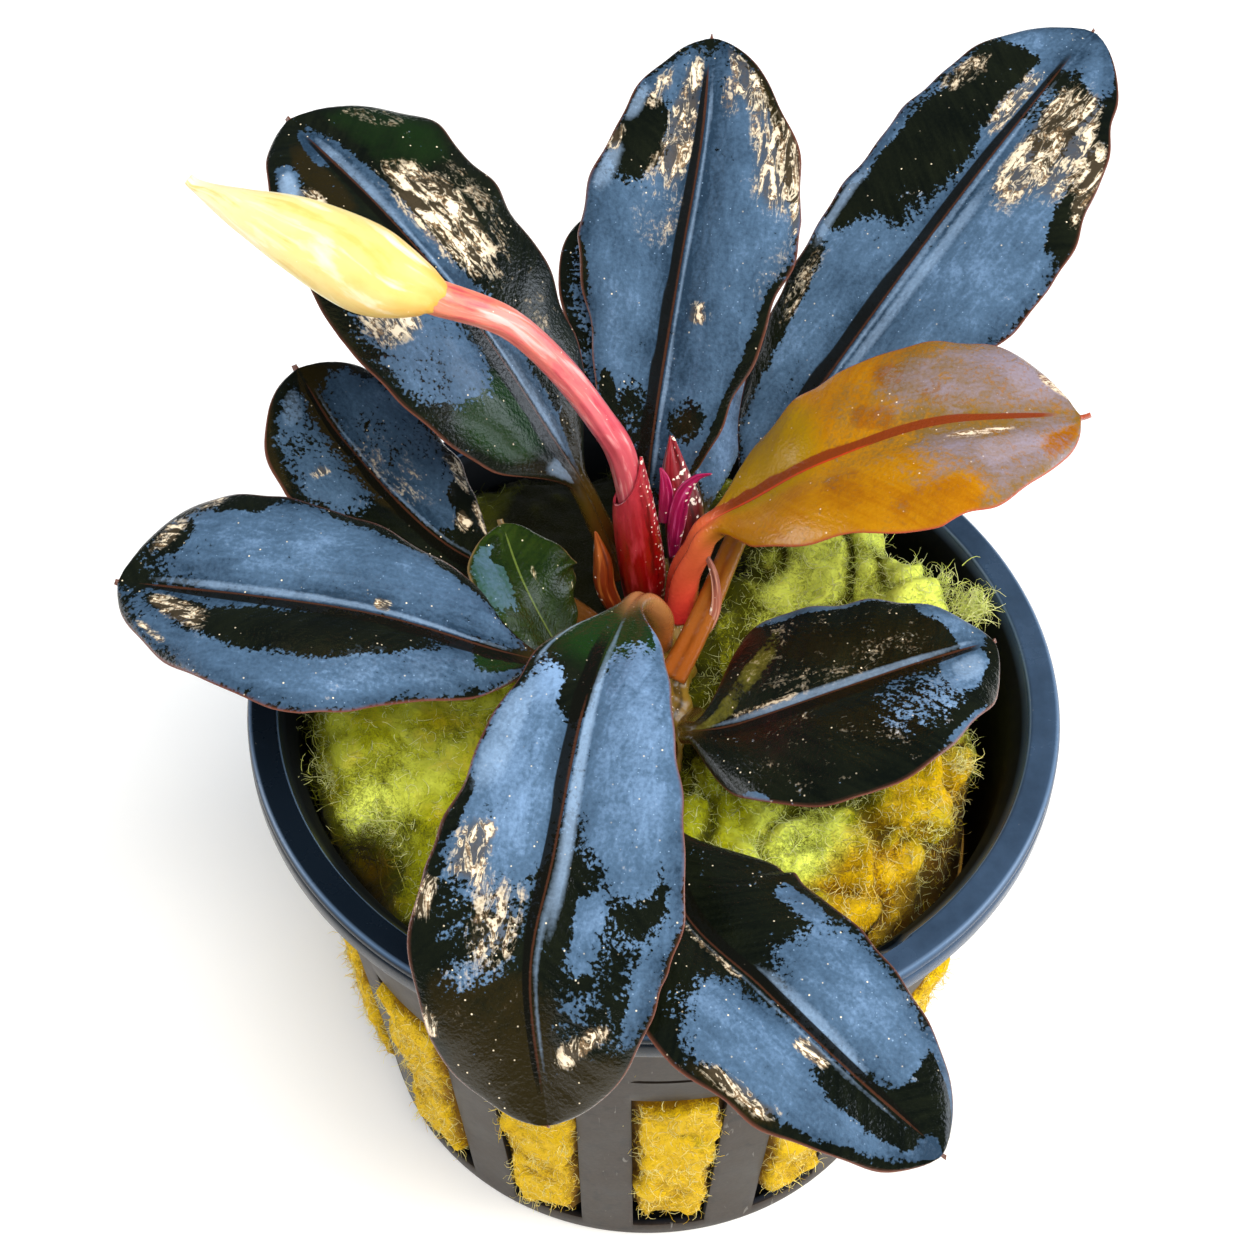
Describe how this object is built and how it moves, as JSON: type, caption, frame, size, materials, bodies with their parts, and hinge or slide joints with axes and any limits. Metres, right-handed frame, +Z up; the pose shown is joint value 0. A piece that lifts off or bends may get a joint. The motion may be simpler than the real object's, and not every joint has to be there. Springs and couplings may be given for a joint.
{
  "type": "bucephalandra in a net pot",
  "caption": "Small aquarium plant with dark oval leaves and a pale flower bud on a curved stalk, rooted in wool in a round slotted net pot.",
  "frame": {"origin": "middle of the underside of the pot's floor", "axes": "+Z up along the pot's axis, -Y towards the front, over which the largest leaf hangs"},
  "size_m": [0.0587, 0.0674, 0.0715],
  "materials": {
    "pot_plastic": "satin",
    "wool": "matte",
    "dark_leaf": "gloss",
    "green_leaf": "gloss",
    "young_leaf": "gloss",
    "rhizome": "satin",
    "flower_stalk": "satin",
    "spathe": "satin",
    "red_sheath": "gloss",
    "dark_sheath": "gloss",
    "magenta_scale": "gloss",
    "orange_bud": "satin"
  },
  "bodies": {
    "root": {"net_pot": "pot_plastic", "wool": "wool", "rhizome": "rhizome", "leaf_front": "dark_leaf", "leaf_front_right": "dark_leaf", "leaf_right": "dark_leaf", "leaf_young": "young_leaf", "leaf_back_right": "dark_leaf", "leaf_back": "dark_leaf", "leaf_back_under": "dark_leaf", "leaf_back_left": "dark_leaf", "leaf_left_upper": "dark_leaf", "leaf_left": "dark_leaf", "leaf_small": "green_leaf", "flower_stalk": "flower_stalk", "spathe": "spathe", "sheath_flower": "red_sheath", "sheath_bud": "dark_sheath", "prophyll_magenta": "magenta_scale", "bud_small": "orange_bud"}
  },
  "joints": []
}
